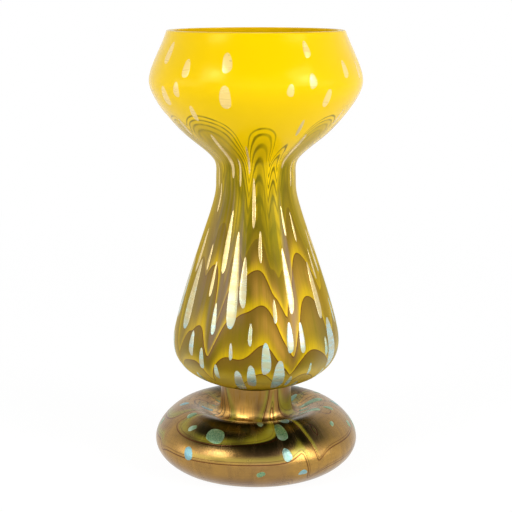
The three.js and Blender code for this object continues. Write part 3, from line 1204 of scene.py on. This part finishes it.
class VASE_OT_vessel_skin(VasePiece, bpy.types.Operator):
    """Turn the vessel's outer layer and lay the pulled threads in it"""

    bl_idname = "vase.vessel_skin"
    bl_label = "Vessel Skin"

    def execute(self, context):
        sizes = context.scene.vase_sizes
        runs = [smooth_run(run, sizes.hidden_spacing) for run in VESSEL_RUNS]
        runs[1] = smooth_run(VESSEL_OUTSIDE, sizes.row_spacing)
        glass = threaded_lustre(context.scene.vase_colours)
        piece = turned("vessel_skin", runs, sizes.rim_rounding, sizes.sides, sizes.waver, glass)
        threads = vessel_threads()
        lay_threads(piece.data, threads, lambda radius, height: height, gather_depth, GATHER_RADIUS)
        return self.keep(piece, "threaded_lustre", "vessel_casing")


class VASE_OT_lining(VasePiece, bpy.types.Operator):
    """Turn the yellow gather that lines the vessel, up to its outer layer"""

    bl_idname = "vase.lining"
    bl_label = "Lining"

    def execute(self, context):
        sizes = context.scene.vase_sizes
        outside, inside = CASING_INSIDE[::-1], LINING_INSIDE
        runs = [
            np.array([(0.0, outside[0][1]), outside[0]]),
            smooth_run(outside, sizes.hidden_spacing),
            np.array([outside[-1], inside[0]]),
            smooth_run(inside, 2 * sizes.row_spacing),
            np.array([inside[-1], (0.0, inside[-1][1])]),
        ]
        glass = yellow_glass(context.scene.vase_colours)
        piece = turned("lining", runs, sizes.rim_rounding, sizes.inner_sides, sizes.waver, glass)
        return self.keep(piece, "yellow_glass", "vessel_lining")


class VASE_OT_foot_skin(VasePiece, bpy.types.Operator):
    """Turn the outer layer of the stem and the cushion, with its threads"""

    bl_idname = "vase.foot_skin"
    bl_label = "Foot Skin"

    def execute(self, context):
        sizes = context.scene.vase_sizes
        runs = [smooth_run(run, sizes.hidden_spacing) for run in FOOT_RUNS]
        runs[1] = smooth_run(FOOT_OUTSIDE, sizes.row_spacing)
        glass = bronze_lustre(context.scene.vase_colours)
        piece = turned("foot_skin", runs, sizes.foot_rounding, sizes.sides, sizes.waver, glass)
        lay_threads(piece.data, foot_threads(), foot_length, lambda length: length, FOOT_RADIUS)
        return self.keep(piece, "bronze_lustre", "foot_casing")


class VASE_OT_foot_body(VasePiece, bpy.types.Operator):
    """Turn the solid glass of the foot, with the ground underside"""

    bl_idname = "vase.foot_body"
    bl_label = "Foot Body"

    def execute(self, context):
        sizes = context.scene.vase_sizes
        runs = [smooth_run(run, 2 * sizes.row_spacing) for run in CORE_RUNS]
        glass = amber_glass(context.scene.vase_colours)
        piece = turned("foot_body", runs, sizes.foot_rounding, sizes.inner_sides, 0.0, glass)
        return self.keep(piece, "amber_glass", "foot_core")


def facing_out(points):
    """The direction that faces out of the glass at each point of an outline that runs downwards."""
    along = np.gradient(points, axis=0)
    along /= np.linalg.norm(along, axis=1)[:, None]
    return np.stack([-along[:, 1], np.zeros(len(points)), along[:, 0]], axis=-1)


def at_depths(depths, line, line_depths):
    """The places on a line at the depths, where the line's own points have their own depths."""
    return np.stack([np.interp(depths, line_depths, column) for column in line.T], axis=-1)


def scattered(name, points, spots, sizes, **inputs):
    """Spots over a gather. The points are its outline when drawn out, and each has its row of the spots."""
    inputs.update(Thickness=sizes.spot_thickness, Waver=sizes.waver)
    carried = [("outwards", facing_out(points)), ("spots", spots)]
    return grown(name, points, silver_spots_group(), inputs, carried)


# What the vessel's spots are like from landmark to landmark: the smallest and the largest radius on the
# small gather, in millimetres, and the share of them that is kept
VESSEL_SPOTS = (
    (0, 1.5, 2.2, 0), (0.2, 1.5, 2.2, 0.1), (0.5, 1.5, 2.4, 0.45), (1.2, 1.5, 2.4, 0.45),
    (1.5, 1, 1.9, 0.6), (2, 1, 2, 0.8), (2.4, 1, 2.8, 0.9), (2.7, 1.1, 4.6, 1), (3.3, 1, 4.4, 1),
    (3.8, 1, 2.4, 1), (4, 0.8, 1.6, 0.8),
)
VESSEL_SPOT_ROWS = 400  # points of the outline that the vessel's spots are laid on
FOOT_SPOTS = (1.3 * MM, 4.8 * MM, 0.6)  # the same three all over the cushion, in metres
FOOT_SPOT_ROWS = 200


class VASE_OT_vessel_spots(VasePiece, bpy.types.Operator):
    """Scatter the silver spots over the vessel's gather and draw them out with it"""

    bl_idname = "vase.vessel_spots"
    bl_label = "Vessel Spots"

    def execute(self, context):
        outside = smooth_run(VESSEL_OUTSIDE, FINE_SPACING)[::-1]
        top, bottom = 1.5 * MM, GATHER_DEPTHS[-1] - 2 * MM  # depths on the gather
        points = at_depths(np.linspace(top, bottom, VESSEL_SPOT_ROWS), outside, gather_depth(outside[:, 1]))
        places, *columns = zip(*VESSEL_SPOTS)
        smallest, largest, kept = (eased(points[:, 1], at_heights(tuple(zip(places, c)))) for c in columns)
        piece = scattered(
            "vessel_spots", points, np.stack([smallest * MM, largest * MM, kept], axis=-1),
            context.scene.vase_sizes, Radius=GATHER_RADIUS, Depth=bottom - top, Apart=5.6 * MM, Evenness=1.9,
            Longer=0.35, Turn=0.3, Taper=0.3, Seed=5, Material=vessel_silver(context.scene.vase_colours),
        )
        return self.keep(piece, "threaded_lustre")


class VASE_OT_foot_spots(VasePiece, bpy.types.Operator):
    """Scatter the crazed silver spots over the cushion"""

    bl_idname = "vase.foot_spots"
    bl_label = "Foot Spots"

    def execute(self, context):
        outside = smooth_run(FOOT_OUTSIDE, FINE_SPACING)[::-1]
        top, bottom = 18 * MM, 62 * MM  # lengths from the joint
        points = at_depths(np.linspace(top, bottom, FOOT_SPOT_ROWS), outside, lengths_along(outside))
        piece = scattered(
            "foot_spots", points, np.tile(FOOT_SPOTS, (len(points), 1)),
            context.scene.vase_sizes, Radius=FOOT_RADIUS, Depth=bottom - top, Apart=13 * MM, Evenness=1.6,
            Longer=0.8, Turn=1.5, Taper=0.12, Seed=3, Material=foot_silver(context.scene.vase_colours),
        )
        return self.keep(piece, "bronze_lustre")


# The studio

# Each lamp's azimuth and elevation in degrees, how far off it stands, its width and height, its radiance and
# how high on the vase's axis it aims. Azimuth 0 is straight in front of the vase, and grows to the right.
LAMPS = {
    "window right": (52, 20, 1.3, 0.62, 0.85, 4.3, 0.6 * RIM),
    "window right core": (54, 22, 1.28, 0.2, 0.3, 12.0, 0.6 * RIM),
    "window left": (-48, 28, 1.3, 0.6, 0.5, 5.0, 0.6 * RIM),
    "window left core": (-46, 32, 1.28, 0.2, 0.2, 11.0, 0.6 * RIM),
    "low fill": (0, 2, 1.8, 2.6, 0.9, 0.6, 0.3),
    "strip left": (-74, 10, 1.4, 1.1, 0.5, 1.8, 0.05),
    "strip right": (72, 10, 1.4, 0.8, 0.45, 1.4, 0.05),
}
CEILING_ELEVATION = math.radians(80)  # of the middle of the unlit ceiling, above the camera's side
CEILING_REACH = math.radians(58)  # from there to where it ends
CEILING_BLUR = math.radians(16)
CEILING_DARKNESS = 0.97
SURROUND = 1.0  # how bright the world shows, where 1 is white, as the floor shows far away
FLOOR_REACH = 40.0  # metres from the vase to the floor's sides
FLOOR_DROP = 0.05 * MM  # how far the floor lies below the ground ring
FLOOR_GREY = 0.93  # of the floor's paint
# Near the vase the floor is mostly glow, and the paint under it takes the shadow. It fades to plain white
# between these distances in metres.
SHADOW_REACH = (0.25, 0.8)
GLOW_NEAR = 1.05  # the glow's strength near the vase
GLOW_SHARE = 0.9  # how much of the floor's look there is glow


def softbox(name, azimuth, elevation, distance, width, height, radiance, aim):
    lamp = bpy.data.lights.new(name, "AREA")
    lamp.shape = "RECTANGLE"
    lamp.size = width
    lamp.size_y = height
    lamp.energy = radiance * math.pi * width * height
    around, up = math.radians(azimuth), math.radians(elevation)
    towards = Vector((math.sin(around) * math.cos(up), -math.cos(around) * math.cos(up), math.sin(up)))
    light = bpy.data.objects.new(name, lamp)
    light.location = Vector((0, 0, aim)) + distance * towards
    light.rotation_euler = towards.to_track_quat("Z", "Y").to_euler()
    bpy.context.collection.objects.link(light)


def seen_directly(tree):
    """1 for rays that show the background or its reflection, and 0 for rays that only gather light."""
    path = tree.add("ShaderNodeLightPath").outputs
    shown = tree.math("MAXIMUM", path["Is Camera Ray"], path["Is Glossy Ray"])
    return tree.math("MAXIMUM", shown, path["Is Transmission Ray"])


def cleared(block):
    """The empty node tree of a material or a world."""
    block.use_nodes = True
    block.node_tree.nodes.clear()
    return Tree(block.node_tree)


class VASE_OT_studio(bpy.types.Operator):
    """Set up the camera, the pale floor and the soft lights"""

    bl_idname = "vase.studio"
    bl_label = "Studio"
    bl_options = {"REGISTER", "UNDO"}

    def execute(self, context):
        studio = context.scene.vase_studio
        lens = bpy.data.cameras.new("camera")
        lens.lens = studio.lens
        camera = bpy.data.objects.new("camera", lens)
        camera.location = (0, -studio.distance, studio.height)
        camera.rotation_euler = (math.pi / 2 - studio.pitch, 0, 0)
        context.collection.objects.link(camera)
        context.scene.camera = camera
        context.scene.view_settings.view_transform = "Standard"
        self.floor()
        self.world(studio.fill)
        for name, lamp in LAMPS.items():
            softbox(name, *lamp)
        return {"FINISHED"}

    @staticmethod
    def floor():
        mesh = bpy.data.meshes.new("floor")
        corners = [(x * FLOOR_REACH, y * FLOOR_REACH, 0) for x, y in ((-1, -1), (1, -1), (1, 1), (-1, 1))]
        mesh.from_pydata(corners, [], [(0, 1, 2, 3)])
        floor = bpy.data.objects.new("floor", mesh)
        floor.location.z = -FLOOR_DROP
        bpy.context.collection.objects.link(floor)
        material = bpy.data.materials.new("pale floor")
        tree = cleared(material)
        away = tree.measured("LENGTH", tree.add("ShaderNodeTexCoord").outputs["Object"])
        paint = tree.add("ShaderNodeBsdfDiffuse", {"Color": rgba([FLOOR_GREY] * 3)}).outputs[0]
        strength = tree.step(away, *SHADOW_REACH, GLOW_NEAR, SURROUND)
        glow = tree.add("ShaderNodeEmission", {"Color": (1, 1, 1, 1), "Strength": strength}).outputs[0]
        share = tree.times(seen_directly(tree), tree.step(away, *SHADOW_REACH, GLOW_SHARE, 1.0))
        mixed = tree.add("ShaderNodeMixShader", {0: share, 1: paint, 2: glow}).outputs[0]
        tree.add("ShaderNodeOutputMaterial", {"Surface": mixed})
        mesh.materials.append(material)

    @staticmethod
    def world(fill):
        """White all round, but for the unlit ceiling over the camera, which only reflections show."""
        world = bpy.data.worlds.new("white surround")
        bpy.context.scene.world = world
        tree = cleared(world)
        strength = tree.plus(fill, tree.times(seen_directly(tree), SURROUND - fill))
        direction = tree.add("ShaderNodeTexCoord").outputs["Generated"]
        ceiling = (0.0, -math.cos(CEILING_ELEVATION), math.sin(CEILING_ELEVATION))
        facing = tree.measured("DOT_PRODUCT", direction, ceiling)
        dark = tree.step(facing, math.cos(CEILING_REACH), math.cos(CEILING_REACH - CEILING_BLUR))
        glossy = tree.add("ShaderNodeLightPath").outputs["Is Glossy Ray"]
        strength = tree.times(strength, tree.minus(1.0, tree.times(dark, glossy, CEILING_DARKNESS)))
        light = tree.add("ShaderNodeBackground", {"Color": (1, 1, 1, 1), "Strength": strength}).outputs[0]
        tree.add("ShaderNodeOutputWorld", {"Surface": light})


OPERATORS = (
    VASE_OT_studio,
    VASE_OT_vessel_skin,
    VASE_OT_lining,
    VASE_OT_foot_skin,
    VASE_OT_foot_body,
    VASE_OT_vessel_spots,
    VASE_OT_foot_spots,
)


class VASE_PT_panel(bpy.types.Panel):
    """Lists the vase's pieces, in the order in which they are made"""

    bl_label = "Vase"
    bl_idname = "VASE_PT_panel"
    bl_space_type = "VIEW_3D"
    bl_region_type = "UI"
    bl_category = "Vase"

    def draw(self, context):
        for operator in OPERATORS:
            self.layout.operator(operator.bl_idname)
        for group in (context.scene.vase_sizes, context.scene.vase_colours, context.scene.vase_studio):
            box = self.layout.box()
            for name in group.bl_rna.properties.keys():
                if name not in ("rna_type", "name"):
                    box.prop(group, name)


CLASSES = (VaseColours, VaseSizes, VaseStudio, *OPERATORS, VASE_PT_panel)


def register():
    for cls in CLASSES:
        bpy.utils.register_class(cls)
    bpy.types.Scene.vase_colours = PointerProperty(type=VaseColours)
    bpy.types.Scene.vase_sizes = PointerProperty(type=VaseSizes)
    bpy.types.Scene.vase_studio = PointerProperty(type=VaseStudio)


def unregister():
    del bpy.types.Scene.vase_studio
    del bpy.types.Scene.vase_sizes
    del bpy.types.Scene.vase_colours
    for cls in reversed(CLASSES):
        bpy.utils.unregister_class(cls)


def main():
    register()
    for operator in OPERATORS:
        family, name = operator.bl_idname.split(".")
        getattr(getattr(bpy.ops, family), name)()


if __name__ == "__main__":
    main()
